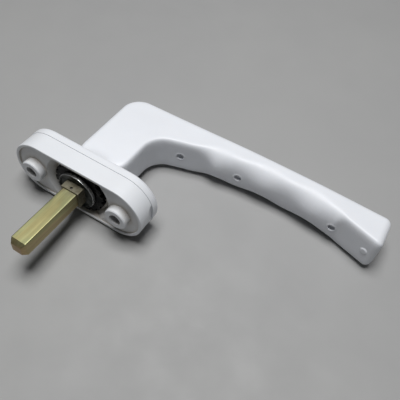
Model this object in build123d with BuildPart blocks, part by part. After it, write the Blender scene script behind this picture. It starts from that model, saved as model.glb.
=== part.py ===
"""Tilt and turn window handle: a plastic covered lever on a stadium shaped rosette.

Frame: the origin is on the spindle axis in the mounting face. +Y points into the room,
the spindle leaves along -Y, the grip points along +X in the closed position, and +Z is
the narrow way across the rosette. All sizes are in millimetres.
"""
import os
from math import atan2, degrees

from build123d import *

os.makedirs("parts", exist_ok=True)

# ---------------------------------------------------------------- interface to the window
screw_pitch = 43.0          # between the two fixing screws
screw_hole = 5.3            # through hole for an M5 screw
screw_head = 9.6            # countersink for its head
peg_diameter = 10.2         # locating pegs that enter the window frame
peg_stand = 2.9             # how far the pegs stand out of the mounting face
peg_edge = 0.4              # bevel at the pegs' ends
spindle_square = 7.0        # across flats
spindle_reach = 34.0        # out of the mounting face
spindle_seat = 24.0         # length held inside the lever
spindle_edge = 0.45         # rounding of the drawn bar's edges
spindle_tip = 1.9           # length of the bevel at the tip
spindle_tip_square = 4.6    # across flats at the very end

# ---------------------------------------------------------------- rosette
base_length = 64.4
base_side = 1.1             # of the base outside the tower, at its narrowest
base_height = 8.5
base_wall = 1.4
base_floor = 1.6
base_edge = 0.35            # rounding of the base's rim
back_recess = 4.0           # from the mounting face to the floor of the middle pocket
end_recess = 0.8            # from the mounting face to the floor around the pegs
pocket_gap = 0.9            # between the cage and the wall of the middle pocket, at its floor
pocket_peg_gap = 0.4        # between the middle pocket's mouth and a peg
tower_wall = 1.2            # of the round guide on the base, which the cover turns on
tower_height = 1.8          # above the base's rim
cover_margin = 0.15         # how far the cover overhangs the base, all round
cover_height = 3.9
cover_wall = 1.1
cover_edge = 1.6            # rounding of the cover's front edge
cover_rim_edge = 0.1        # rounding of its rim at the base
cover_gap = 0.1             # between the base and the cover's rim
cover_guide_fit = 0.1       # radial clearance of the cover on the tower
cover_guide_wall = 0.8
cover_guide_inset = 0.3     # from the cover's rim to the guide's end
pry_recess_radius = 6.2     # half moon at each end, for a blade to lift the cover
pry_recess_height = 3.2
pry_recess_depth = 0.9

# ---------------------------------------------------------------- bearing and detent
hub_land = 0.05             # the round hub stands this far outside the sleeve's corners
bush_wall = 0.9
running_fit = 0.05          # radial clearance of a turning fit
pocket_inner_wall = 0.35    # of the cage between the bush and a ball's pocket
pocket_outer_wall = 0.8     # of the cage outside a ball's pocket
cage_flange = 1.4           # how far the cage's flange stands out of its body
cage_flange_back = 1.7      # how high the cage's flange starts above the mounting face
cage_front = 9.1            # height of the cage's front face
cage_notches = 18
cage_notch_width = 1.7
cage_notch_depth = 0.9
spring_floor = 0.9          # of the cage behind a spring
seat_fit = 0.1              # clearance of a part that sits in a pocket
ball_radius = 1.25
ball_gap = 0.02             # between a ball and the detent ring's flat
ball_travel = 0.3           # into a dimple, and back into the cage
spring_wire = 0.36
spring_fit = 0.05           # between a spring and the ball's own radius
spring_bite = 0.05          # how far the ball sits into its spring's last turn
spring_turns = 4
detent_ring_thickness = 1.2
detent_gap = 0.3            # between the detent ring and the fixed parts around it
detent_key_step = 1.0       # the driving square's faces lie this far inside the hub
stops_per_turn = 4

# ---------------------------------------------------------------- washers and hub
sleeve_wall = 0.85          # of the core's square end, which the washers sit on
sleeve_edge = 0.35          # rounding of its corners
sleeve_reach = 3.7          # out of the mounting face
stack_gap = 0.15            # play of the washers on the cage
washer_overhang = 2.6       # how far the retaining washer stands out of the hub
washer_thickness = 0.9
washer_lip = 0.5            # height of the washer's raised edge
washer_lip_wall = 0.8
washer_edge = 0.2           # rounding of the washer's rim
wave_inset = 0.8            # the wave washer's rim inside the retaining washer's
wave_thickness = 0.35
wave_height = 0.5
wave_count = 3
wave_channel = 6.0          # width of each wave's trough
wave_fit = 0.4              # radial clearance on the hub
pin_radius = 0.6
pin_depth = 2.4             # out of the mounting face
pin_recess = 0.5            # below the sleeve's faces
pin_edge = 0.2

# ---------------------------------------------------------------- lever
neck_inset = 1.2            # the neck's round foot inside the tower's outer wall
neck_foot_stand = 0.4       # how far the round foot stands out of the cover
neck_fit = 0.25             # radial clearance in the cover's hole
neck_left = 10.4            # from the spindle axis to the neck's outer side
neck_right = 12.6           # from the spindle axis to the neck's inner side
neck_blend = 6.6            # length over which the round foot becomes the neck
lever_half_width = 8.6      # half the lever's width, along Z
lever_edge = 3.0            # rounding of the lever's long edges
lever_reach = 57.2          # from the mounting face to the crown of the grip's outer face
grip_bow = 2.2              # how far the outer face falls away towards the elbow
grip_fall = 0.5             # and towards the end
grip_end = 117.0            # from the spindle axis to the grip's end
grip_end_thickness = 16.9
elbow_outer_radius = 9.0
elbow_inner_radius = 10.0
end_corner_radius = 3.3
elbow_thickness = 19.9      # of the grip where its inner face would meet the neck
palm_thickness = 10.0       # of the grip at its thinnest, without the grooves
facet_length = 20.5         # of the thickened end
facet_thickness = 11.4      # of the grip where the thickened end begins
groove_pitch = 23.0
groove_count = 3
groove_depth = 0.9
groove_crest_radius = 14.0
pin_mark_radius = 1.6       # holes left by the pins that held the core in the mould
pin_marks_from_axis = (24.3, 51.5)
pin_mark_from_end = 20.7
gate_mark_radius = 1.6      # stub left where the plastic entered the mould
gate_mark_height = 0.4
gate_mark_root = 0.5        # how far the stub reaches into the grip, under the sloping face
gate_mark_from_end = 5.4

# ---------------------------------------------------------------- core inside the plastic
core_side_wall = 1.1        # of the core beside the spindle
core_neck_half = 6.6
core_grip_thickness = 4.2
core_cover = 3.0            # plastic over the core's outer face
core_end_cover = 3.5        # plastic over the core's end
core_edge = 1.5             # rounding of the core's corners, seen from the side

# ---------------------------------------------------------------- heights worked out
sleeve_square = spindle_square + 2 * sleeve_wall
hub_radius = sleeve_square / 2 * 2**0.5 + hub_land
bush_radius = hub_radius + running_fit + bush_wall
pocket_radius = ball_radius + running_fit
ball_circle = bush_radius + pocket_inner_wall + pocket_radius
cage_radius = ball_circle + pocket_radius + pocket_outer_wall
cage_flange_radius = cage_radius + cage_flange
tower_radius = cage_radius + seat_fit + tower_wall
base_width = 2 * (tower_radius + base_side)
neck_radius = tower_radius - neck_inset
washer_radius = hub_radius + washer_overhang
wave_radius = washer_radius - wave_inset
detent_key = 2 * (hub_radius - detent_key_step)
core_half_width = spindle_square / 2 + core_side_wall

floor_front = back_recess + base_floor
end_floor_front = end_recess + base_floor
pocket_floor_radius = cage_flange_radius + pocket_gap
pocket_mouth_radius = screw_pitch / 2 - peg_diameter / 2 - pocket_peg_gap
pocket_depth = back_recess - end_recess
pocket_taper = degrees(atan2(pocket_mouth_radius - pocket_floor_radius, pocket_depth))
tower_front = base_height + tower_height
cover_back = base_height + cover_gap
cover_front = cover_back + cover_height
ring_back = cage_front + detent_gap
ring_front = ring_back + detent_ring_thickness
ball_centre = ring_back - ball_gap - ball_radius
pocket_bottom = cage_flange_back + spring_floor
spring_end = ball_centre - ball_radius + spring_bite
cage_clip = base_width / 2 - base_wall - seat_fit
wave_front = cage_flange_back - stack_gap
washer_front = wave_front - wave_height
washer_back = washer_front - washer_thickness
neck_foot_end = cover_front + neck_foot_stand
neck_end = neck_foot_end + neck_blend
neck_centre = (neck_right - neck_left) / 2
neck_width = neck_right + neck_left
grip_inner_end = lever_reach - grip_fall - grip_end_thickness
ring_radius = cage_radius + seat_fit - detent_gap


def across(height):
    """Plane across the spindle axis at a height above the mounting face, facing the room."""
    return Plane(origin=(0, height, 0), x_dir=(1, 0, 0), z_dir=(0, 1, 0))


def save(part, name):
    """Label a finished piece and write its STEP file."""
    part.label = name
    export_step(part, f"parts/{name}.step")


# ================================================================ rosette base
base_inner_length = base_length - 2 * base_wall
base_inner_width = base_width - 2 * base_wall

# The pocket in the middle of the back, which widens towards its mouth.
with BuildPart() as middle_pocket:
    with BuildSketch(across(end_recess)):
        Circle(pocket_mouth_radius)
    extrude(amount=pocket_depth, taper=pocket_taper)
    with BuildSketch(across(end_recess)):
        SlotOverall(base_inner_length, base_inner_width)
    extrude(amount=pocket_depth, mode=Mode.INTERSECT)

with BuildPart() as rosette_base:
    with BuildSketch(across(0)):
        SlotOverall(base_length, base_width)
    extrude(amount=base_height)
    with BuildSketch(across(0)):
        SlotOverall(base_inner_length, base_inner_width)
    extrude(amount=end_recess, mode=Mode.SUBTRACT)
    with BuildSketch(across(end_floor_front)):
        SlotOverall(base_inner_length, base_inner_width)
    extrude(amount=base_height - end_floor_front, mode=Mode.SUBTRACT)
    with BuildSketch(across(end_floor_front)):
        Circle(pocket_mouth_radius)
        SlotOverall(base_inner_length, base_inner_width, mode=Mode.INTERSECT)
    extrude(amount=floor_front - end_floor_front)
    add(middle_pocket.part, mode=Mode.SUBTRACT)
    with BuildSketch(across(floor_front)):
        Circle(tower_radius)
    extrude(amount=tower_front - floor_front)
    with BuildSketch(across(-peg_stand)):
        with GridLocations(screw_pitch, 0, 2, 1):
            Circle(peg_diameter / 2)
    extrude(amount=peg_stand + end_recess)
    peg_ends = faces().filter_by(Axis.Y).group_by(Axis.Y)[0]
    chamfer(peg_ends.edges(), peg_edge)
    rim = faces().filter_by(Axis.Y).group_by(Axis.Y)[1]
    fillet(rim.edges(), base_edge)
    with Locations(across(end_floor_front)):
        with GridLocations(screw_pitch, 0, 2, 1):
            CounterSinkHole(screw_hole / 2, screw_head / 2)
    with BuildSketch(across(0)):
        Circle(cage_radius + seat_fit)
    extrude(amount=tower_front, mode=Mode.SUBTRACT)
    for side in (-1, 1):
        face = Plane(
            origin=(side * (base_length / 2 - pry_recess_depth), base_height, 0),
            x_dir=(0, 0, 1),
            z_dir=(side, 0, 0),
        )
        with BuildSketch(face):
            with Locations((0, side * (pry_recess_height - pry_recess_radius))):
                Circle(pry_recess_radius)
        extrude(amount=base_wall, mode=Mode.SUBTRACT)
save(rosette_base.part, "rosette_base")

# ================================================================ rosette cover
cover_length = base_length + 2 * cover_margin
cover_width = base_width + 2 * cover_margin
cover_inner_length = cover_length - 2 * cover_wall
cover_inner_width = cover_width - 2 * cover_wall
guide_inner = tower_radius + cover_guide_fit

with BuildPart() as rosette_cover:
    with BuildSketch(across(cover_back)):
        SlotOverall(cover_length, cover_width)
    extrude(amount=cover_height)
    fillet(faces().sort_by(Axis.Y)[-1].edges(), cover_edge)
    fillet(faces().sort_by(Axis.Y)[0].edges(), cover_rim_edge)
    with BuildSketch(across(cover_back)):
        SlotOverall(cover_inner_length, cover_inner_width)
    extrude(amount=cover_height - cover_wall, mode=Mode.SUBTRACT)
    with BuildSketch(across(cover_front - cover_wall)):
        Circle(guide_inner + cover_guide_wall)
        Circle(guide_inner, mode=Mode.SUBTRACT)
        SlotOverall(cover_inner_length, cover_inner_width, mode=Mode.INTERSECT)
    extrude(amount=-(cover_height - cover_wall - cover_guide_inset))
    with BuildSketch(across(cover_front - cover_wall)):
        Circle(neck_radius + neck_fit)
    extrude(amount=cover_wall, mode=Mode.SUBTRACT)
save(rosette_cover.part, "rosette_cover")

# ================================================================ detent cage
with BuildPart() as detent_cage:
    with BuildSketch(across(cage_flange_back)):
        Circle(cage_flange_radius)
        with PolarLocations(cage_flange_radius, cage_notches, start_angle=90 / cage_notches):
            Rectangle(2 * cage_notch_depth, cage_notch_width, mode=Mode.SUBTRACT)
        Rectangle(3 * cage_flange_radius, 2 * cage_clip, mode=Mode.INTERSECT)
    extrude(amount=back_recess - cage_flange_back)
    with BuildSketch(across(back_recess)):
        Circle(cage_radius)
    extrude(amount=cage_front - back_recess)
    with BuildSketch(across(cage_flange_back)):
        Circle(bush_radius)
    extrude(amount=cage_front - cage_flange_back, mode=Mode.SUBTRACT)
    with BuildSketch(across(pocket_bottom)):
        with GridLocations(2 * ball_circle, 0, 2, 1):
            Circle(pocket_radius)
    extrude(amount=cage_front - pocket_bottom, mode=Mode.SUBTRACT)
save(detent_cage.part, "detent_cage")

# ================================================================ bearing bush
with BuildPart() as neck_bush:
    with BuildSketch(across(cage_flange_back)):
        Circle(bush_radius)
        Circle(hub_radius + running_fit, mode=Mode.SUBTRACT)
    extrude(amount=cage_front - cage_flange_back)
save(neck_bush.part, "neck_bush")

# ================================================================ detent balls and springs
spring_mean_radius = ball_radius - spring_wire / 2 - spring_fit
spring_length = spring_end - pocket_bottom - spring_wire

for side, name in ((-1, "left"), (1, "right")):
    with BuildPart() as detent_ball:
        with BuildSketch(Plane.XY):
            with Locations((side * ball_circle, ball_centre)):
                Circle(ball_radius)
                Rectangle(ball_radius, 2 * ball_radius, align=(Align.MAX, Align.CENTER),
                          mode=Mode.SUBTRACT)
        revolve(axis=Axis((side * ball_circle, 0, 0), (0, 1, 0)))
    save(detent_ball.part, f"detent_ball_{name}")

    with BuildPart() as detent_spring:
        with BuildLine():
            coil = Helix(
                pitch=spring_length / spring_turns,
                height=spring_length,
                radius=spring_mean_radius,
                center=(side * ball_circle, pocket_bottom + spring_wire / 2, 0),
                direction=(0, 1, 0),
            )
        with BuildSketch(Plane(origin=coil @ 0, z_dir=coil % 0)):
            Circle(spring_wire / 2)
        sweep(path=coil, is_frenet=True)
    save(detent_spring.part, f"detent_spring_{name}")

# ================================================================ detent ring
with BuildPart() as detent_ring:
    with BuildSketch(across(ring_back)):
        Circle(ring_radius)
        Rectangle(detent_key, detent_key, mode=Mode.SUBTRACT)
    extrude(amount=detent_ring_thickness)
    with Locations(across(ring_back - ball_radius + ball_travel)):
        with PolarLocations(ball_circle, stops_per_turn):
            Sphere(ball_radius + running_fit, mode=Mode.SUBTRACT)
save(detent_ring.part, "detent_ring")

# ================================================================ washers behind the cage
with BuildPart() as wave_washer:
    with BuildSketch(across(washer_front)):
        Circle(wave_radius)
        Circle(hub_radius + wave_fit, mode=Mode.SUBTRACT)
    extrude(amount=wave_height)
    # Shallow channels, staggered on the two faces, leave a ring that waves around its turn.
    channel_depth = wave_height - wave_thickness
    for face_height, first in (
        (washer_front, 0),
        (wave_front - channel_depth, 180 / wave_count),
    ):
        with BuildSketch(across(face_height)):
            with PolarLocations(wave_radius, wave_count, start_angle=first):
                Rectangle(2 * (wave_radius - hub_radius), wave_channel)
        extrude(amount=channel_depth, mode=Mode.SUBTRACT)
save(wave_washer.part, "wave_washer")

with BuildPart() as retaining_washer:
    with BuildSketch(across(washer_back)):
        Circle(washer_radius)
        Rectangle(sleeve_square + seat_fit, sleeve_square + seat_fit, mode=Mode.SUBTRACT)
    extrude(amount=washer_thickness)
    with BuildSketch(across(washer_back - washer_lip)):
        Circle(washer_radius)
        Circle(washer_radius - washer_lip_wall, mode=Mode.SUBTRACT)
    extrude(amount=washer_lip)
    fillet(faces().sort_by(Axis.Y)[0].edges(), washer_edge)
save(retaining_washer.part, "retaining_washer")

# ================================================================ spindle and its pin
with BuildPart() as spindle:
    with BuildSketch(across(spindle_tip - spindle_reach)):
        RectangleRounded(spindle_square, spindle_square, spindle_edge)
    extrude(amount=spindle_reach - spindle_tip + spindle_seat)
    with BuildSketch(across(-spindle_reach)):
        RectangleRounded(spindle_tip_square, spindle_tip_square, spindle_edge)
    with BuildSketch(across(spindle_tip - spindle_reach)):
        RectangleRounded(spindle_square, spindle_square, spindle_edge)
    loft()
    with BuildSketch(Plane.XY):
        with Locations((0, -pin_depth)):
            Circle(pin_radius)
    extrude(amount=spindle_square, both=True, mode=Mode.SUBTRACT)
save(spindle.part, "spindle")

with BuildPart() as spindle_pin:
    with BuildSketch(Plane.XY):
        with Locations((0, -pin_depth)):
            Circle(pin_radius)
    extrude(amount=sleeve_square / 2 - pin_recess, both=True)
    chamfer(edges().filter_by(GeomType.CIRCLE), pin_edge)
save(spindle_pin.part, "spindle_pin")

# ================================================================ lever core
core_top = lever_reach - core_cover
core_end = grip_end - core_end_cover
core_socket = spindle_square + running_fit

with BuildPart() as lever_core:
    with BuildSketch(across(-sleeve_reach)):
        RectangleRounded(sleeve_square, sleeve_square, sleeve_edge)
    extrude(amount=sleeve_reach + ring_back)
    with BuildSketch(across(cage_flange_back - stack_gap)):
        Circle(hub_radius)
    extrude(amount=ring_back - cage_flange_back + stack_gap)
    with BuildSketch(across(ring_back)):
        Rectangle(detent_key, detent_key)
    extrude(amount=detent_ring_thickness)
    with BuildSketch(Plane.XY):
        with BuildLine():
            FilletPolyline(
                (-core_neck_half, ring_front),
                (-core_neck_half, core_top),
                (core_end, core_top),
                (core_end, core_top - core_grip_thickness),
                (core_neck_half, core_top - core_grip_thickness),
                (core_neck_half, ring_front),
                (-core_neck_half, ring_front),
                radius=core_edge,
            )
        make_face()
    extrude(amount=core_half_width, both=True)
    with BuildSketch(across(-sleeve_reach)):
        Rectangle(core_socket, core_socket)
    extrude(amount=sleeve_reach + spindle_seat, mode=Mode.SUBTRACT)
    with BuildSketch(Plane.XY):
        with Locations((0, -pin_depth)):
            Circle(pin_radius)
    extrude(amount=sleeve_square, both=True, mode=Mode.SUBTRACT)
save(lever_core.part, "lever_core")

# ================================================================ lever skin
elbow_corner = (-neck_left, lever_reach - grip_bow)
end_outer = (grip_end, lever_reach - grip_fall)
end_inner = (grip_end, grip_inner_end)
palm_end = (grip_end - facet_length, lever_reach - facet_thickness)
palm_start = (neck_right, lever_reach - elbow_thickness)
palm_middle = ((palm_end[0] + neck_right) / 2, lever_reach - palm_thickness)
pin_marks = [(place, 0) for place in pin_marks_from_axis]
pin_marks += [(grip_end - pin_mark_from_end, 0)]
facet_slope = (palm_end[1] - end_inner[1]) / facet_length
gate_mark = (
    grip_end - gate_mark_from_end,
    end_inner[1] + gate_mark_from_end * facet_slope,
    0,
)

with BuildPart() as lever_skin:
    with BuildSketch(Plane.XY):
        with BuildLine():
            Line((neck_right, neck_end), (-neck_left, neck_end))
            Line((-neck_left, neck_end), elbow_corner)
            ThreePointArc(elbow_corner, (grip_end / 2, lever_reach), end_outer)
            Line(end_outer, end_inner)
            Line(end_inner, palm_end)
            palm = ThreePointArc(palm_end, palm_middle, palm_start, mode=Mode.PRIVATE)
            groove_share = groove_pitch / palm.length
            # Finger grooves side by side, counted from the thick end.
            for groove in range(groove_count):
                hollow = palm @ ((groove + 0.5) * groove_share) + Vector(0, groove_depth)
                ThreePointArc(palm @ (groove * groove_share), hollow,
                              palm @ ((groove + 1) * groove_share))
            plain = groove_count * groove_share
            ThreePointArc(palm @ plain, palm @ ((1 + plain) / 2), palm_start)
            Line(palm_start, (neck_right, neck_end))
        make_face()
        for corner, radius in (
            (elbow_corner, elbow_outer_radius),
            (palm_start, elbow_inner_radius),
            (end_outer, end_corner_radius),
            (end_inner, end_corner_radius),
        ):
            fillet(vertices().sort_by_distance(corner)[0], radius)
        for crest in range(groove_count + 1):
            place = palm @ (crest * groove_share)
            fillet(vertices().sort_by_distance(place)[0], groove_crest_radius)
    extrude(amount=lever_half_width, both=True)
    rims = edges().filter_by(lambda e: abs(abs(e.center().Z) - lever_half_width) < 0.01)
    rims = rims.filter_by(lambda e: e.center().Y > neck_end + 0.01)
    fillet(rims, lever_edge)
    # The neck: a round foot that turns in the cover, then a blend into the lever's section.
    with BuildSketch(across(neck_foot_end)):
        RectangleRounded(2 * neck_radius, 2 * neck_radius, 0.999 * neck_radius)
    with BuildSketch(across(neck_end)):
        with Locations((neck_centre, 0)):
            RectangleRounded(neck_width, 2 * lever_half_width, lever_edge)
    loft()
    with BuildSketch(across(ring_front)):
        Circle(neck_radius)
    extrude(amount=neck_foot_end - ring_front)
    with BuildSketch(across(neck_end)):
        with Locations(pin_marks):
            Circle(pin_mark_radius)
    extrude(amount=core_top - core_grip_thickness - neck_end, mode=Mode.SUBTRACT)
    facet = Plane(origin=gate_mark, x_dir=(0, 0, 1), z_dir=(facet_slope, 1, 0))
    with BuildSketch(facet.offset(-gate_mark_height)):
        Circle(gate_mark_radius)
    extrude(amount=gate_mark_height + gate_mark_root)
    add(lever_core.part, mode=Mode.SUBTRACT)
    with BuildSketch(across(ring_front)):
        Rectangle(core_socket, core_socket)
    extrude(amount=spindle_seat - ring_front, mode=Mode.SUBTRACT)
save(lever_skin.part, "lever_skin")
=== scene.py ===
"""Looks of the tilt and turn handle: lever skin mesh, materials, floor, light and camera.

Lengths in the section code are millimetres in the row frame; MM turns them into metres.
"""

import json
import math

import bmesh
import bpy
import numpy as np
from mathutils import Matrix, Vector


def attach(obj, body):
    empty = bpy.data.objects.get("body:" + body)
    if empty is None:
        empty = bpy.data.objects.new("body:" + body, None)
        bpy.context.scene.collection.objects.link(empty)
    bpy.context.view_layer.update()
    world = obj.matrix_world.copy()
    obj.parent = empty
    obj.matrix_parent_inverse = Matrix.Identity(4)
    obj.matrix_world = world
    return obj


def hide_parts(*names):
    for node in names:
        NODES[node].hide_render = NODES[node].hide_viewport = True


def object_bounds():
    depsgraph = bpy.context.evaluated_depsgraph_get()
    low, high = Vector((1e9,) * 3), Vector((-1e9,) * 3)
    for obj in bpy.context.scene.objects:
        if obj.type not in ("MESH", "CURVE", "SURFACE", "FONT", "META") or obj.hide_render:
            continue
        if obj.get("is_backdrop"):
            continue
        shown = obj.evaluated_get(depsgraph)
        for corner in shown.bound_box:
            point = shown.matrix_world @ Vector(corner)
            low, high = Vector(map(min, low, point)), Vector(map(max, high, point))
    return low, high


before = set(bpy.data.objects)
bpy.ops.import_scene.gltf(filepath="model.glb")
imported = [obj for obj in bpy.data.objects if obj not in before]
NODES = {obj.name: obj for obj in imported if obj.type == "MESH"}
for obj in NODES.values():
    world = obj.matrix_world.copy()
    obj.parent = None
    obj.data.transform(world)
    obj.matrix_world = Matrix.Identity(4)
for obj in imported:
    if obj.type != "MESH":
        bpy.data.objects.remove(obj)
bounds_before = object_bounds()
MM = 0.001
MERGE = 1e-7               # metres
SHARP_ANGLE = 35           # degrees

# ------------------------------------------------------------------ lever: outlines in XY
FOOT_BOTTOM = 10.6         # the neck's round foot, which stands in the cover's hole
FOOT_TOP = 13.0
FOOT_RADIUS = 11.0
FOOT_HEIGHTS = (FOOT_BOTTOM, 11.2, 11.8, 12.4, 12.8, FOOT_TOP)
NECK_TOP = 19.6            # where the foot has become the neck's full section
NECK_STATIONS = 26
NECK_SPACING = 1.5         # power that packs the stations towards the foot
NECK_SPREAD = 2.6          # power of the quick widening above the foot
PLAIN_STATIONS = 10        # from there to the fan
NECK_LEFT = -10.4
NECK_RIGHT = 12.6
HALF_WIDTH = 8.6
GRIP_END = 117.0
END_INNER_Y = 39.8
PALM_END = (96.5, 45.8)
PALM_MIDDLE = (54.55, 47.2)
PALM_START = (12.6, 37.3)
OUTER_START = (-10.4, 55.0)
OUTER_MIDDLE = (58.5, 57.2)
OUTER_END = (117.0, 56.7)
ELBOW_INNER = 10.0
ELBOW_OUTER = 9.0
END_RADIUS = 3.3
EDGE = 3.0
GROOVE_PITCH = 23.0
GROOVE_COUNT = 3
GROOVE_DEPTH = 0.9
ARC_STEPS = 40             # of the sampled outlines
LINE_STEPS = 59
FAN = (19.5, 26.0)         # centre of the stations round the elbow
FAN_STATIONS = 72
SAMPLE_END = 60.0          # where the outlines for the fan stop
CORE_HALF = 6.6
CORE_WIDTH = 4.6
CORE_EDGE = 0.4
CORE_POWER = 9.0
CORE_SAMPLE_END = 70.0
CORE_LOW = 50.0
CORE_TOP = 54.2
CORE_END = 113.5
PIN_MARKS = (24.3, 51.5, 96.3, 111.6)    # the last is the gate's stub
PIN_RADIUS = 1.6
PIN_DEPTH = 1.6
PIN_SNAP = 0.08            # points this near the hole's edge move onto it
LIP_HEIGHT = 0.14
LIP_RADIUS = 1.92
LIP_WIDTH = 0.34
STUB_HEIGHT = 0.45
STUB_TOP = 1.15            # radius of its flat top
STUB_SLOPE = 0.6
MARK_REACH = 3.0
CROWN = 0.12               # of the grip's outer face
CROWN_FROM = 0.55          # share of the fan where it starts
CROWN_SPAN = 0.45
SWELL = 0.3                # how much wider the middle of the grip is, on each side
SWELL_FROM = 25
SWELL_FADE = 30
SWELL_MARGIN = 6           # from its end to the grip's end
END_DOME = 0.2
END_RINGS = (0.96, 0.85, 0.65, 0.4, 0.18)    # sizes of the dome's rings
END_STATIONS = 9
END_EDGE = 0.5             # what is left of EDGE at the end face
END_PALM = 1.1             # depth of the palm side's rounding there, by edge radius
GRIP_STEP = 0.6
GRIP_SLACK = 0.05          # no station is added this near the last one
MARK_LEAD = 0.1            # the fine stations start this much early
MARK_NEAR = 2.9            # and reach this far on both sides of a mark
PALM_BLEND = 8             # length over which the elbow's outline turns into the palm's
OUTLINE_END = 58           # beyond it the elbow's outline isn't looked up


def circle_through(a, b, c):
    """Centre and radius of the circle through three points."""
    ax, ay = a
    bx, by = b
    cx, cy = c
    d = 2 * (ax * (by - cy) + bx * (cy - ay) + cx * (ay - by))
    sa, sb, sc = ax * ax + ay * ay, bx * bx + by * by, cx * cx + cy * cy
    x = (sa * (by - cy) + sb * (cy - ay) + sc * (ay - by)) / d
    y = (sa * (cx - bx) + sb * (ax - cx) + sc * (bx - ax)) / d
    return (x, y), math.hypot(ax - x, ay - y)


def smooth(t):
    t = min(max(t, 0.0), 1.0)
    return t * t * (3 - 2 * t)


PALM_CENTRE, PALM_RADIUS = circle_through(PALM_START, PALM_MIDDLE, PALM_END)
OUTER_CENTRE, OUTER_RADIUS = circle_through(OUTER_START, OUTER_MIDDLE, OUTER_END)


def palm_y(x):
    """Height of the palm side without its grooves."""
    if x > PALM_END[0]:
        t = (x - PALM_END[0]) / (GRIP_END - PALM_END[0])
        return PALM_END[1] + t * (END_INNER_Y - PALM_END[1])
    return PALM_CENTRE[1] + math.sqrt(PALM_RADIUS**2 - (x - PALM_CENTRE[0]) ** 2)


def outer_y(x):
    return OUTER_CENTRE[1] + math.sqrt(OUTER_RADIUS**2 - (x - OUTER_CENTRE[0]) ** 2)


def groove(x):
    """0 at a crest and beyond the grooves, 1 in the middle of a groove."""
    t = (PALM_END[0] - x) / GROOVE_PITCH
    if t <= 0 or t >= GROOVE_COUNT:
        return 0.0
    return math.sin(math.pi * t) ** 2


def inner_curve():
    """Neck's inner side, elbow fillet and palm, as points."""
    fx = NECK_RIGHT + ELBOW_INNER
    fy = PALM_CENTRE[1] + math.sqrt((PALM_RADIUS - ELBOW_INNER) ** 2 - (fx - PALM_CENTRE[0]) ** 2)
    away = math.atan2(fy - PALM_CENTRE[1], fx - PALM_CENTRE[0])
    points = [(NECK_RIGHT, FOOT_BOTTOM), (NECK_RIGHT, fy)]
    for i in range(1, ARC_STEPS):
        a = math.pi + (away - math.pi) * i / ARC_STEPS
        points.append((fx + ELBOW_INNER * math.cos(a), fy + ELBOW_INNER * math.sin(a)))
    start = PALM_CENTRE[0] + PALM_RADIUS * math.cos(away)
    for i in range(LINE_STEPS + 1):
        x = start + (SAMPLE_END - start) * i / LINE_STEPS
        points.append((x, palm_y(x) + GROOVE_DEPTH * groove(x)))
    return points


def outer_curve():
    """Neck's outer side, elbow and the grip's outer face, as points."""
    ex = NECK_LEFT + ELBOW_OUTER
    ey = OUTER_CENTRE[1] + math.sqrt((OUTER_RADIUS - ELBOW_OUTER) ** 2 - (ex - OUTER_CENTRE[0]) ** 2)
    away = math.atan2(ey - OUTER_CENTRE[1], ex - OUTER_CENTRE[0])
    points = [(NECK_LEFT, FOOT_BOTTOM), (NECK_LEFT, ey)]
    for i in range(1, ARC_STEPS + 1):
        a = math.pi + (away - math.pi) * i / ARC_STEPS
        points.append((ex + ELBOW_OUTER * math.cos(a), ey + ELBOW_OUTER * math.sin(a)))
    start = OUTER_CENTRE[0] + OUTER_RADIUS * math.cos(away)
    for i in range(1, LINE_STEPS + 1):
        x = start + (SAMPLE_END - start) * i / LINE_STEPS
        points.append((x, outer_y(x)))
    return points


def hit(curve, angle):
    """Where a ray from the fan's centre meets a curve."""
    dx, dy = math.cos(angle), math.sin(angle)
    best = None
    for (x0, y0), (x1, y1) in zip(curve, curve[1:]):
        s0 = (x0 - FAN[0]) * dy - (y0 - FAN[1]) * dx
        s1 = (x1 - FAN[0]) * dy - (y1 - FAN[1]) * dx
        if s0 * s1 > 0 or s0 == s1:
            continue
        t = s0 / (s0 - s1)
        x, y = x0 + t * (x1 - x0), y0 + t * (y1 - y0)
        reach = (x - FAN[0]) * dx + (y - FAN[1]) * dy
        if reach > 0 and (best is None or reach < best[0]):
            best = (reach, x, y)
    return best[1], best[2]


# ------------------------------------------------------------------ lever: cross sections
CORNER_STEPS = 9
SIDE_STEPS = 14
FINE_STEP = 0.15
FINE_COUNT = 18
FACE_FINE = [FINE_STEP * i for i in range(-FINE_COUNT, FINE_COUNT + 1)]
BROW_STEPS = 15
LEAST_SIDE = 0.3       # straight side that is left between the palm and the outer edge
FLAT = (3.3, 5.0)      # depth and power of a flat inner face with rounded edges
CREST = (5.0, 2.35)    # of the palm between two finger hollows
SCOOP = (7.2, 2.0)     # of the palm in a finger hollow


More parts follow.
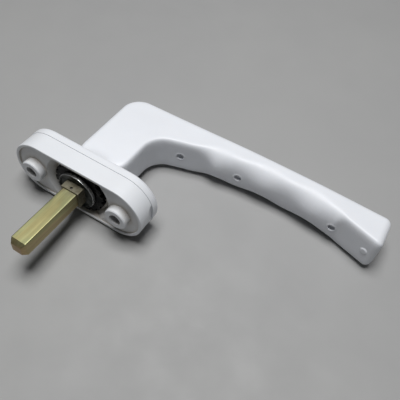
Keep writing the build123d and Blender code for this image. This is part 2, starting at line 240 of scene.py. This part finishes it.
def section(inner, outer, half, palm, r_out, crown_out=0.0):
    """Points round a section between an inner and an outer point, as (x, y, z).

    palm is (depth, power) of the inner side, which is part of a superellipse.
    """
    ix, iy = inner
    ox, oy = outer
    depth, power = palm
    thick = math.hypot(ox - ix, oy - iy)
    nx, ny = (ox - ix) / thick, (oy - iy) / thick
    r_out = min(r_out, half - 0.01, thick / 2)
    depth = min(depth, thick - r_out - LEAST_SIDE)
    scale = min(1.0, 0.5 * half / FACE_FINE[-1])
    fine = [f * scale for f in FACE_FINE]
    start = math.asin((fine[-1] / half) ** (power / 2))
    brow = []
    for i in range(1, BROW_STEPS + 1):
        t = start + (math.pi / 2 - start) * i / BROW_STEPS
        rise = depth * (1 - max(math.cos(t), 0.0) ** (2 / power))
        brow.append((rise, half * math.sin(t) ** (2 / power)))
    rows = [(depth * (1 - (1 - abs(q / half) ** power) ** (1 / power)), q) for q in fine]
    rows += brow
    span = thick - depth - r_out
    for i in range(1, SIDE_STEPS):
        rows.append((depth + span * i / SIDE_STEPS, half))
    for i in range(CORNER_STEPS + 1):
        a = math.pi / 2 * i / CORNER_STEPS
        rows.append((thick - r_out * (1 - math.sin(a)), half - r_out + r_out * math.cos(a)))
    flat = half - r_out
    steps = len(fine)
    for i in range(1, steps):
        q = flat - 2 * flat * i / steps
        rows.append((thick + crown_out * (1 - (q / flat) ** 2), q))
    for i in range(CORNER_STEPS + 1):
        a = math.pi / 2 * i / CORNER_STEPS
        rows.append((thick - r_out * (1 - math.cos(a)), -flat - r_out * math.sin(a)))
    for i in range(1, SIDE_STEPS):
        rows.append((thick - r_out - span * i / SIDE_STEPS, -half))
    rows += [(p, -q) for p, q in reversed(brow)]
    return [(ix + nx * p, iy + ny * p, q) for p, q in rows], len(fine)


SOFTEN = (-1.6, -0.8, 0.0, 0.8, 1.6)    # offsets whose mean rounds off the ridge
PALM_FROM, PALM_FADE_IN = 27, 15        # where the rounded palm starts, and over what length
PALM_TO, PALM_FADE_OUT = 96, 5          # and where it ends
EDGE_SHARE = 0.855                      # of the half width, where the palm's edge is measured
EDGE_DROP = 0.45                        # how far that edge stands above the outline


def palm_soft(x):
    """Palm side with the ridge at the thick end's start rounded off."""
    return sum(palm_y(x + d) for d in SOFTEN) / len(SOFTEN)


def grip_shape(x):
    """Depth and power of the palm along the grip, and its height on the middle line."""
    middle = smooth((x - PALM_FROM) / PALM_FADE_IN) * (1 - smooth((x - PALM_TO) / PALM_FADE_OUT))
    g = groove(x)
    depth = FLAT[0] + middle * (CREST[0] - FLAT[0] + (SCOOP[0] - CREST[0]) * g)
    power = FLAT[1] + middle * (CREST[1] - FLAT[1] + (SCOOP[1] - CREST[1]) * g)
    edge = EDGE_SHARE**power
    drop = depth * (1 - (1 - edge) ** (1 / power))
    return (depth, power), EDGE_DROP - drop


def build_lever():
    """Rings of points from the foot to the end, the rings of the core's hollow, and each ring's x."""
    inner, outer = inner_curve(), outer_curve()
    rings, cavity, where = [], [], []

    def core(pi, po):
        ring, _ = section(pi, po, CORE_WIDTH, (CORE_EDGE, CORE_POWER), CORE_EDGE)
        cavity.append(ring)

    heights = list(FOOT_HEIGHTS)
    for i in range(1, NECK_STATIONS + 1):
        heights.append(FOOT_TOP + (NECK_TOP - FOOT_TOP) * (i / NECK_STATIONS) ** NECK_SPACING)
    for i in range(1, PLAIN_STATIONS):
        heights.append(NECK_TOP + (FAN[1] - NECK_TOP) * i / PLAIN_STATIONS)
    for y in heights:
        square, faces = section((NECK_RIGHT, y), (NECK_LEFT, y), HALF_WIDTH, FLAT, EDGE)
        share = min(max((y - FOOT_TOP) / (NECK_TOP - FOOT_TOP), 0.0), 1.0)
        s = 1 - (1 - share) ** NECK_SPREAD
        middle = (NECK_RIGHT + NECK_LEFT) / 2
        ring = []
        for x, _, z in square:
            a = math.atan2(z, x - middle)
            cx, cz = FOOT_RADIUS * math.cos(a), FOOT_RADIUS * math.sin(a)
            ring.append((cx + (x - cx) * s, y, cz + (z - cz) * s))
        rings.append(ring)
        where.append(None)
        core((CORE_HALF, y), (-CORE_HALF, y))
    core_in = [(CORE_HALF, FOOT_BOTTOM), (CORE_HALF, CORE_LOW), (CORE_SAMPLE_END, CORE_LOW)]
    core_out = [(-CORE_HALF, FOOT_BOTTOM), (-CORE_HALF, CORE_TOP), (CORE_SAMPLE_END, CORE_TOP)]
    for i in range(FAN_STATIONS):
        t = i / FAN_STATIONS
        a = math.pi - math.pi / 2 * i / FAN_STATIONS
        pi, po = hit(inner, a), hit(outer, a)
        crown_out = CROWN * smooth((t - CROWN_FROM) / CROWN_SPAN)
        po = (po[0] - math.cos(a) * crown_out, po[1] - math.sin(a) * crown_out)
        ring, _ = section(pi, po, HALF_WIDTH, FLAT, EDGE, crown_out)
        rings.append(ring)
        where.append(None)
        core(hit(core_in, a), hit(core_out, a))
    # stations along the grip, closer together at the pin marks
    xs = [FAN[0]]
    last = GRIP_END - END_DOME - END_RADIUS
    while xs[-1] < last - GRIP_SLACK:
        near = min(abs(xs[-1] + MARK_LEAD - m) for m in PIN_MARKS)
        xs.append(xs[-1] + (FINE_STEP if near < MARK_NEAR else GRIP_STEP))
    xs[-1] = last
    for x in xs:
        palm, shift = grip_shape(x)
        blend = smooth((x - FAN[0]) / PALM_BLEND)
        low = hit_vertical(inner, x) if x < OUTLINE_END else 0.0
        y_in = palm_soft(x) + GROOVE_DEPTH * groove(x) + shift
        y_in = low + (y_in - low) * blend if blend < 1 else y_in
        swell = smooth((GRIP_END - SWELL_MARGIN - x) / SWELL_FADE)
        swell = SWELL * smooth((x - SWELL_FROM) / SWELL_FADE) * swell
        ring, _ = section((x, y_in), (x, outer_y(x) - CROWN), HALF_WIDTH + swell, palm, EDGE, CROWN)
        rings.append(ring)
        where.append(x)
        if x < CORE_END:
            core((x, CORE_LOW), (x, CORE_TOP))
    palm, shift = grip_shape(last)
    for i in range(1, END_STATIONS + 1):
        a = math.pi / 2 * i / END_STATIONS
        x = last + END_RADIUS * math.sin(a)
        inset = END_RADIUS * (1 - math.cos(a))
        half = HALF_WIDTH - EDGE * (1 - math.cos(a))
        r = EDGE * math.cos(a) + END_EDGE * (1 - math.cos(a))
        bow = CROWN * math.cos(a)
        at = min(x, GRIP_END)
        ring, _ = section(
            (x, palm_soft(at) + shift + inset),
            (x, outer_y(at) - inset - bow),
            half, (r * END_PALM, FLAT[1]), r, bow,
        )
        rings.append(ring)
        where.append(x)
    return rings, cavity, where, faces


def hit_vertical(curve, x):
    """Height of a curve above the fan's centre, at x."""
    for (x0, y0), (x1, y1) in zip(curve, curve[1:]):
        if min(x0, x1) <= x <= max(x0, x1) and x0 != x1 and y0 > FAN[1]:
            return y0 + (y1 - y0) * (x - x0) / (x1 - x0)
    return None


def press_marks(rings, where, faces):
    """The holes left by the moulding pins, with faint lips, and the raised stub of the gate."""
    for ring, x0 in zip(rings, where):
        if x0 is None:
            continue
        for j in range(faces):
            x, y, z = ring[j]
            for mark in PIN_MARKS:
                dx = x0 - mark
                d = math.hypot(dx, z)
                if d > MARK_REACH:
                    continue
                if mark == PIN_MARKS[-1]:
                    y -= STUB_HEIGHT * (1 - smooth((d - STUB_TOP) / STUB_SLOPE))
                    continue
                if abs(d - PIN_RADIUS) < PIN_SNAP:
                    x, z = mark + dx * PIN_RADIUS / d, z * PIN_RADIUS / d
                    d = PIN_RADIUS
                y -= LIP_HEIGHT * math.exp(-(((d - LIP_RADIUS) / LIP_WIDTH) ** 2))
                if d < PIN_RADIUS - PIN_SNAP / 2:
                    y += PIN_DEPTH
            ring[j] = (x, y, z)


def mesh_piece(name, verts, faces):
    """A smooth shaded object from points in millimetres."""
    data = bpy.data.meshes.new(name)
    data.from_pydata([(x * MM, y * MM, z * MM) for x, y, z in verts], [], faces)
    data.validate()
    obj = bpy.data.objects.new(name, data)
    bpy.context.scene.collection.objects.link(obj)
    bm = bmesh.new()
    bm.from_mesh(data)
    bmesh.ops.remove_doubles(bm, verts=bm.verts, dist=MERGE)
    bmesh.ops.recalc_face_normals(bm, faces=bm.faces)
    bm.to_mesh(data)
    bm.free()
    data.polygons.foreach_set("use_smooth", [True] * len(data.polygons))
    data.set_sharp_from_angle(angle=math.radians(SHARP_ANGLE))
    return obj


def lever_piece():
    rings, cavity, where, faces = build_lever()
    press_marks(rings, where, faces)
    n = len(rings[0])
    # the end face, slightly domed, as rings that close on a centre point
    last = rings[-1]
    cx = last[0][0]
    cy = sum(p[1] for p in last) / n
    for share in END_RINGS:
        x = cx + END_DOME * (1 - share**2)
        rings.append([(x, cy + (p[1] - cy) * share, p[2] * share) for p in last])
    verts = [p for ring in rings for p in ring]
    quads = []
    for i in range(len(rings) - 1):
        for j in range(n):
            k = (j + 1) % n
            quads.append((i * n + j, i * n + k, (i + 1) * n + k, (i + 1) * n + j))
    tip = len(verts)
    verts.append((cx + END_DOME, cy, 0.0))
    base = (len(rings) - 1) * n
    quads += [(base + j, base + (j + 1) % n, tip) for j in range(n)]
    # the hollow that the core fills
    start = len(verts)
    verts += [p for ring in cavity for p in ring]
    for i in range(len(cavity) - 1):
        for j in range(n):
            k = (j + 1) % n
            a = start + i * n
            b = a + n
            quads.append((a + k, a + j, b + j, b + k))
    quads += [(start + j, start + (j + 1) % n, (j + 1) % n, j) for j in range(n)]
    end = len(verts)
    verts.append((CORE_END, (CORE_LOW + CORE_TOP) / 2, 0.0))
    base = start + (len(cavity) - 1) * n
    quads += [(base + (j + 1) % n, base + j, end) for j in range(n)]
    return mesh_piece("lever_body", verts, quads)


lever = lever_piece()
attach(lever, "lever")
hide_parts("lever_skin")

# ------------------------------------------------------------------ materials
RECESS = 0.008         # metres of +Y that the masks of the rosette's inside span
WASHER = 0.010         # metres of radius that the washer's mask spans
BAR = 0.034            # metres from the rosette to the spindle's tip


class Mat:
    """A node material under construction; coordinates are the row frame's, in metres."""

    def __init__(self, name):
        self.m = bpy.data.materials.new(name)
        self.m.use_nodes = True
        self.t = self.m.node_tree
        self.n = self.t.nodes
        self.l = self.t.links
        self.b = self.n["Principled BSDF"]
        self.coord = self.n.new("ShaderNodeTexCoord").outputs["Object"]

    def stretch(self, scale):
        node = self.n.new("ShaderNodeMapping")
        node.inputs["Scale"].default_value = scale
        self.l.new(self.coord, node.inputs["Vector"])
        return node.outputs["Vector"]

    def noise(self, scale, detail=4.0, rough=0.55, at=None, distortion=0.0):
        node = self.n.new("ShaderNodeTexNoise")
        node.inputs["Scale"].default_value = scale
        node.inputs["Detail"].default_value = detail
        node.inputs["Roughness"].default_value = rough
        node.inputs["Distortion"].default_value = distortion
        self.l.new(at or self.coord, node.inputs["Vector"])
        return node.outputs["Fac"]

    def ramp(self, fac, stops):
        node = self.n.new("ShaderNodeValToRGB")
        els = node.color_ramp.elements
        while len(els) < len(stops):
            els.new(0.5)
        for el, (pos, col) in zip(els, stops):
            el.position = pos
            if not isinstance(col, tuple):
                col = (col, col, col)
            el.color = (*col, 1.0)
        self.l.new(fac, node.inputs["Fac"])
        return node.outputs["Color"]

    def mix(self, fac, a, b, mode="MIX"):
        node = self.n.new("ShaderNodeMix")
        node.data_type = "RGBA"
        node.blend_type = mode
        for socket, value in ((node.inputs[0], fac), (node.inputs[6], a), (node.inputs[7], b)):
            if isinstance(value, (int, float)):
                socket.default_value = value
            elif isinstance(value, tuple):
                socket.default_value = (*value, 1.0)
            else:
                self.l.new(value, socket)
        return node.outputs[2]

    def math(self, op, a, b=0.0):
        node = self.n.new("ShaderNodeMath")
        node.operation = op
        for socket, value in zip(node.inputs, (a, b)):
            if isinstance(value, (int, float)):
                socket.default_value = value
            else:
                self.l.new(value, socket)
        return node.outputs[0]

    def times(self, a, b):
        return self.math("MULTIPLY", a, b)

    def axis(self, name):
        node = self.n.new("ShaderNodeSeparateXYZ")
        self.l.new(self.coord, node.inputs[0])
        return node.outputs[name]

    def ao(self, distance):
        """1 in the open, 0 deep in a corner."""
        node = self.n.new("ShaderNodeAmbientOcclusion")
        node.samples = 6
        node.inputs["Distance"].default_value = distance
        return node.outputs["AO"]

    def bump(self, heights):
        """heights: (socket, strength, distance in metres)."""
        last = None
        for height, strength, distance in heights:
            node = self.n.new("ShaderNodeBump")
            node.inputs["Strength"].default_value = strength
            node.inputs["Distance"].default_value = distance
            self.l.new(height, node.inputs["Height"])
            if last is not None:
                self.l.new(last, node.inputs["Normal"])
            last = node.outputs["Normal"]
        self.l.new(last, self.b.inputs["Normal"])

    def set(self, name, value):
        socket = self.b.inputs[name]
        if isinstance(value, tuple):
            socket.default_value = (*value, 1.0) if len(socket.default_value) == 4 else value
        elif isinstance(value, (int, float)):
            socket.default_value = value
        else:
            self.l.new(value, socket)


def white_plastic(name, tint, grime_and_shade_strength, gloss, deep=False):
    """Moulded plastic with specks, faint scratches, and brown grime with painted shade in its corners.

    The third argument sets how strong that grime and painted shade are; deep keeps them to the
    rosette's inside and paints a beige-brown shade over its occluded parts.
    """
    p = Mat(name)
    broad = p.noise(45, 3)
    base = p.ramp(broad, [(0.3, tuple(c * 0.965 for c in tint)), (0.7, tint)])
    speck = p.ramp(p.noise(620, 2, 0.7), [(0.70, 0.0), (0.78, 1.0)])
    base = p.mix(p.times(speck, 0.10), base, (0.55, 0.50, 0.42))
    # brown darkening where ambient occlusion finds corners and creases, in cloudy patches: grime with
    # painted shade
    grime_and_corner_shade = p.ramp(p.ao(0.006), [(0.20, 1.0), (0.92, 0.0)])
    cloud = p.ramp(p.noise(130, 5, 0.65), [(0.35, 0.35), (0.65, 1.0)])
    amount = p.times(p.times(grime_and_corner_shade, cloud), grime_and_shade_strength)
    if deep:
        height = p.times(p.axis("Y"), 1 / RECESS)
        back = p.ramp(height, [(0.50, 1.0), (0.62, 0.0)])
        amount = p.times(amount, back)
        # a beige-brown painted shade over the occluded parts of the rosette's inside
        inside = p.ramp(height, [(0.03, 0.0), (0.09, 1.0), (0.55, 1.0), (0.62, 0.0)])
        painted_recess_shade = p.ramp(p.noise(60, 4, 0.6), [(0.3, (0.60, 0.56, 0.50)), (0.7, (0.72, 0.69, 0.62))])
        shade = p.ramp(p.ao(0.010), [(0.30, 1.0), (0.97, 0.0)])
        base = p.mix(p.times(inside, shade), base, painted_recess_shade)
    # the brown grime and painted corner shade go into the colour here
    base = p.mix(amount, base, (0.26, 0.22, 0.165))
    p.set("Base Color", base)
    smear = p.noise(90, 4, 0.6, p.stretch((1.0, 2.2, 0.6)))
    rough = p.ramp(smear, [(0.3, gloss), (0.72, gloss + 0.14)])
    scratch = p.ramp(p.noise(1000, 2, 0.5, p.stretch((0.05, 0.9, 0.9))), [(0.66, 0.0), (0.70, 1.0)])
    rough = p.mix(p.times(scratch, 0.12), rough, (0.62, 0.62, 0.62))
    p.set("Roughness", rough)
    p.set("IOR", 1.48)
    p.set("Subsurface Weight", 0.06)
    p.set("Subsurface Radius", (1.0, 0.9, 0.8))
    p.set("Subsurface Scale", 0.0012)
    p.bump([
        (p.noise(150, 2), 0.10, 0.0006),
        (p.noise(1500, 2, 0.5), 0.10, 0.00005),
        (scratch, 0.02, 0.00003),
    ])
    return p.m


def black_plastic():
    """Black moulding with patches of wet grease."""
    p = Mat("black_greasy_plastic")
    grease = p.ramp(p.noise(210, 5, 0.6, None, 0.6), [(0.50, 0.0), (0.66, 1.0)])
    base = p.mix(grease, (0.0025, 0.0025, 0.003), (0.008, 0.007, 0.005))
    p.set("Base Color", base)
    p.set("Specular IOR Level", 0.16)
    p.set("Roughness", p.ramp(grease, [(0.0, 0.55), (1.0, 0.20)]))
    p.bump([(grease, 0.5, 0.0003), (p.noise(900, 3), 0.15, 0.0001)])
    return p.m


def steel(name, tint, dark, rough_low, rough_high):
    """Bare steel, patchy between dark and tint."""
    p = Mat(name)
    patch = p.noise(240, 5, 0.6, None, 0.4)
    base = p.ramp(patch, [(0.3, dark), (0.7, tint)])
    p.set("Base Color", base)
    p.set("Metallic", 1.0)
    p.set("Roughness", p.ramp(p.noise(420, 4), [(0.3, rough_low), (0.7, rough_high)]))
    p.bump([(p.noise(500, 3), 0.12, 0.0001), (patch, 0.15, 0.0002)])
    return p.m


def washer_zinc():
    """Plated washer: its face under a green black film of old grease, its rim rubbed bright."""
    p = Mat("greasy_plated_washer")
    patch = p.noise(260, 5, 0.6, None, 0.4)
    bright = p.ramp(patch, [(0.3, (0.62, 0.63, 0.62)), (0.7, (0.86, 0.87, 0.88))])
    x, z = p.axis("X"), p.axis("Z")
    radius = p.math("SQRT", p.math("ADD", p.times(x, x), p.times(z, z)))
    inner = p.ramp(p.times(radius, 1 / WASHER), [(0.862, 1.0), (0.880, 0.0)])
    film = p.ramp(p.noise(230, 5, 0.62, None, 0.8), [(0.45, 1.0), (0.80, 0.80)])
    cover = p.times(inner, film)
    grease = p.ramp(p.noise(420, 4), [(0.35, (0.002, 0.004, 0.002)), (0.65, (0.008, 0.013, 0.008))])
    p.set("Base Color", p.mix(cover, bright, grease))
    p.set("Metallic", p.math("SUBTRACT", 1.0, p.times(cover, 0.95)))
    p.set("Specular IOR Level", p.math("SUBTRACT", 0.5, p.times(cover, 0.36)))
    polish = p.ramp(patch, [(0.3, 0.22), (0.7, 0.34)])
    p.set("Roughness", p.mix(cover, polish, (0.40, 0.40, 0.40)))
    p.bump([(p.noise(500, 3), 0.12, 0.0001), (cover, 0.3, 0.0002)])
    return p.m


def yellow_zinc():
    """Chromated zinc on the drawn square bar: straw, green and a red tinge towards the tip."""
    p = Mat("yellow_zinc_chromate")
    film = p.noise(70, 4, 0.6, p.stretch((1.0, 0.35, 1.0)), 0.8)
    sheen = p.n.new("ShaderNodeLayerWeight")
    sheen.inputs["Blend"].default_value = 0.35
    wave = p.math("ADD", film, p.times(sheen.outputs["Facing"], 0.35))
    base = p.ramp(wave, [
        (0.30, (0.50, 0.42, 0.20)),
        (0.44, (0.50, 0.45, 0.22)),
        (0.58, (0.44, 0.45, 0.24)),
        (0.70, (0.46, 0.39, 0.20)),
        (0.84, (0.40, 0.31, 0.18)),
    ])
    streak = p.ramp(p.noise(900, 3, 0.6, p.stretch((1.0, 0.03, 1.0))), [(0.35, 0.75), (0.65, 1.0)])
    base = p.mix(1.0, base, streak, "MULTIPLY")
    along = p.times(p.axis("Y"), -1 / BAR)
    tip = p.ramp(along, [(0.93, 0.0), (1.0, 1.0)])
    base = p.mix(p.times(tip, 0.45), base, (0.42, 0.26, 0.14))
    # darker brown patches over the spindle's root, next to the rosette
    root = p.ramp(along, [(0.06, 1.0), (0.20, 0.0)])
    dark_patches = p.ramp(p.noise(300, 5, 0.65), [(0.35, 0.15), (0.6, 0.9)])
    base = p.mix(p.times(root, dark_patches), base, (0.25, 0.215, 0.16))
    p.set("Base Color", base)
    p.set("Metallic", 1.0)
    rough = p.ramp(p.noise(260, 4, 0.6, p.stretch((1.0, 0.2, 1.0))), [(0.3, 0.38), (0.7, 0.52)])
    p.set("Roughness", rough)
    p.bump([(streak, 0.20, 0.00004), (p.noise(160, 3), 0.12, 0.0003)])
    return p.m


def zinc_cast():
    """Dull die casting with old stains."""
    p = Mat("die_cast_zinc")
    cloud = p.noise(330, 5, 0.62)
    base = p.ramp(cloud, [(0.3, (0.15, 0.14, 0.10)), (0.7, (0.31, 0.29, 0.22))])
    dark_patches = p.ramp(p.noise(170, 5, 0.7, None, 0.5), [(0.42, 0.0), (0.60, 0.85)])
    base = p.mix(dark_patches, base, (0.115, 0.10, 0.065))
    p.set("Base Color", base)
    p.set("Metallic", 0.85)
    p.set("Roughness", p.ramp(cloud, [(0.3, 0.60), (0.7, 0.42)]))
    p.bump([(p.noise(700, 4, 0.6), 0.25, 0.00012)])
    return p.m


def floor_material():
    """Plain pale matte surface."""
    p = Mat("floor_matte")
    base = p.ramp(p.noise(6, 5, 0.6), [(0.3, (0.33, 0.33, 0.33)), (0.7, (0.36, 0.36, 0.355))])
    p.set("Base Color", base)
    p.set("Roughness", p.ramp(p.noise(60, 4), [(0.3, 0.55), (0.7, 0.7)]))
    p.bump([(p.noise(800, 3), 0.08, 0.0001)])
    return p.m


SPRING_TINT, SPRING_DARK = (0.50, 0.49, 0.47), (0.36, 0.35, 0.34)
BALL_TINT, BALL_DARK = (0.72, 0.72, 0.73), (0.60, 0.60, 0.62)
MATERIALS = {
    "lever_body": white_plastic("lever_white_plastic", (0.80, 0.82, 0.86), 0.18, 0.40),
    "rosette_base": white_plastic("rosette_white_plastic", (0.79, 0.81, 0.84), 1.0, 0.28, True),
    "rosette_cover": white_plastic("cover_white_plastic", (0.80, 0.82, 0.855), 0.04, 0.26),
    "detent_cage": black_plastic(),
    "neck_bush": white_plastic("bush_acetal", (0.62, 0.60, 0.54), 0.6, 0.30),
    "retaining_washer": washer_zinc(),
    "wave_washer": steel("spring_steel_strip", (0.50, 0.50, 0.50), (0.30, 0.30, 0.31), 0.22, 0.34),
    "spindle": yellow_zinc(),
    "spindle_pin": steel("pin_steel", (0.16, 0.15, 0.14), (0.05, 0.05, 0.05), 0.35, 0.5),
    "lever_core": zinc_cast(),
    "detent_ring": steel("detent_steel", (0.48, 0.47, 0.46), (0.30, 0.30, 0.29), 0.24, 0.4),
    "detent_ball_left": steel("ball_steel_left", BALL_TINT, BALL_DARK, 0.06, 0.12),
    "detent_ball_right": steel("ball_steel_right", BALL_TINT, BALL_DARK, 0.06, 0.12),
    "detent_spring_left": steel("spring_wire_left", SPRING_TINT, SPRING_DARK, 0.2, 0.34),
    "detent_spring_right": steel("spring_wire_right", SPRING_TINT, SPRING_DARK, 0.2, 0.34),
}
SHOWN = dict(NODES)
SHOWN["lever_body"] = lever
for name, material in MATERIALS.items():
    obj = SHOWN[name]
    obj.data.materials.clear()
    obj.data.materials.append(material)

# ------------------------------------------------------------------ floor, touched by rosette and grip
STEEPEST = math.radians(20)
HALVINGS = 40
FLOOR_GAP = 0.00002        # metres under the lowest point
FLOOR_MIDDLE = Vector((0.042, 0.02, 0))
FLOOR_STEPS = 24
FLOOR_REACH = 1.6          # metres from its middle to an edge


def lowest(objs, normal):
    """Lowest height of some objects, measured along a normal."""
    best = None
    for o in objs:
        co = np.empty(len(o.data.vertices) * 3, dtype=np.float32)
        o.data.vertices.foreach_get("co", co)
        value = float((co.reshape(-1, 3) @ np.array(normal)).min())
        best = value if best is None else min(best, value)
    return best


rosette = [NODES["rosette_cover"], NODES["rosette_base"]]
low, high = 0.0, STEEPEST
for _ in range(HALVINGS):
    tilt = (low + high) / 2
    up = (0.0, -math.sin(tilt), math.cos(tilt))
    if lowest([lever], up) > lowest(rosette, up):
        low = tilt
    else:
        high = tilt
up = Vector((0.0, -math.sin(tilt), math.cos(tilt)))
level = min(lowest([lever], up), lowest(rosette, up)) - FLOOR_GAP
side = Vector((1, 0, 0))
depth = up.cross(side)
centre = FLOOR_MIDDLE - up * (FLOOR_MIDDLE.dot(up) - level)
marks = [(i / FLOOR_STEPS - 0.5) * 2 * FLOOR_REACH for i in range(FLOOR_STEPS + 1)]
verts = [tuple((centre + side * a + depth * b) / MM) for a in marks for b in marks]
row = FLOOR_STEPS + 1
quads = []
for i in range(FLOOR_STEPS):
    for j in range(FLOOR_STEPS):
        k = i * row + j
        quads.append((k, k + row, k + row + 1, k + 1))
floor = mesh_piece("floor", verts, quads)
floor.data.materials.append(floor_material())
floor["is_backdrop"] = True

# ------------------------------------------------------------------ light


def area(name, offset, size, power, colour=(1, 1, 1)):
    """Rectangular light aimed at the floor's centre; offset is along side, depth and up."""
    light = bpy.data.lights.new(name, "AREA")
    light.shape = "RECTANGLE"
    light.size, light.size_y = size
    light.energy = power
    light.color = colour
    obj = bpy.data.objects.new(name, light)
    bpy.context.scene.collection.objects.link(obj)
    place = centre + side * offset[0] + depth * offset[1] + up * offset[2]
    obj.location = place
    obj.rotation_euler = (centre - place).to_track_quat("-Z", "Y").to_euler()


area("key", (-0.03, 0.06, 0.64), (0.30, 0.30), 4.15)
area("fill", (0.35, -0.75, 0.35), (0.6, 0.6), 0.10, (0.95, 0.97, 1.0))
world = bpy.data.worlds.new("studio")
world.use_nodes = True
world.node_tree.nodes["Background"].inputs["Color"].default_value = (0.9, 0.94, 1.0, 1.0)
world.node_tree.nodes["Background"].inputs["Strength"].default_value = 0.05
bpy.context.scene.world = world

# ------------------------------------------------------------------ camera
CAMERA_DISTANCE = 199.71   # millimetres from the origin, along the view
CAMERA_RIGHT = 50.80       # and across it
CAMERA_UP = -3.72
LENS = 43.72               # on a sensor 36 wide
az, el, roll = math.radians(23.90), math.radians(51.81), math.radians(8.95)
back = Vector((math.sin(az) * math.cos(el), -math.cos(az) * math.cos(el), math.sin(el)))
right = Vector((math.cos(az), math.sin(az), 0))
upward = back.cross(right)
cam_x = math.cos(roll) * right + math.sin(roll) * upward
cam_y = -math.sin(roll) * right + math.cos(roll) * upward
cam = bpy.data.cameras.new("camera")
cam.sensor_width = 36
cam.lens = LENS
cam.clip_start = 0.01
cam.clip_end = 20
camera = bpy.data.objects.new("camera", cam)
bpy.context.scene.collection.objects.link(camera)
place = (CAMERA_DISTANCE * back + CAMERA_RIGHT * cam_x + CAMERA_UP * cam_y) * MM
camera.matrix_world = Matrix((
    (cam_x.x, cam_y.x, back.x, place.x),
    (cam_x.y, cam_y.y, back.y, place.y),
    (cam_x.z, cam_y.z, back.z, place.z),
    (0, 0, 0, 1),
))
bpy.context.scene.camera = camera
bpy.context.scene.view_settings.view_transform = "Standard"
bpy.context.scene.view_settings.look = "None"


def plain(values):
    """Bounds as plain lists."""
    return json.loads(json.dumps(values, default=lambda v: [float(x) for x in v]))


{"before": plain(bounds_before), "after": plain(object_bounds())}
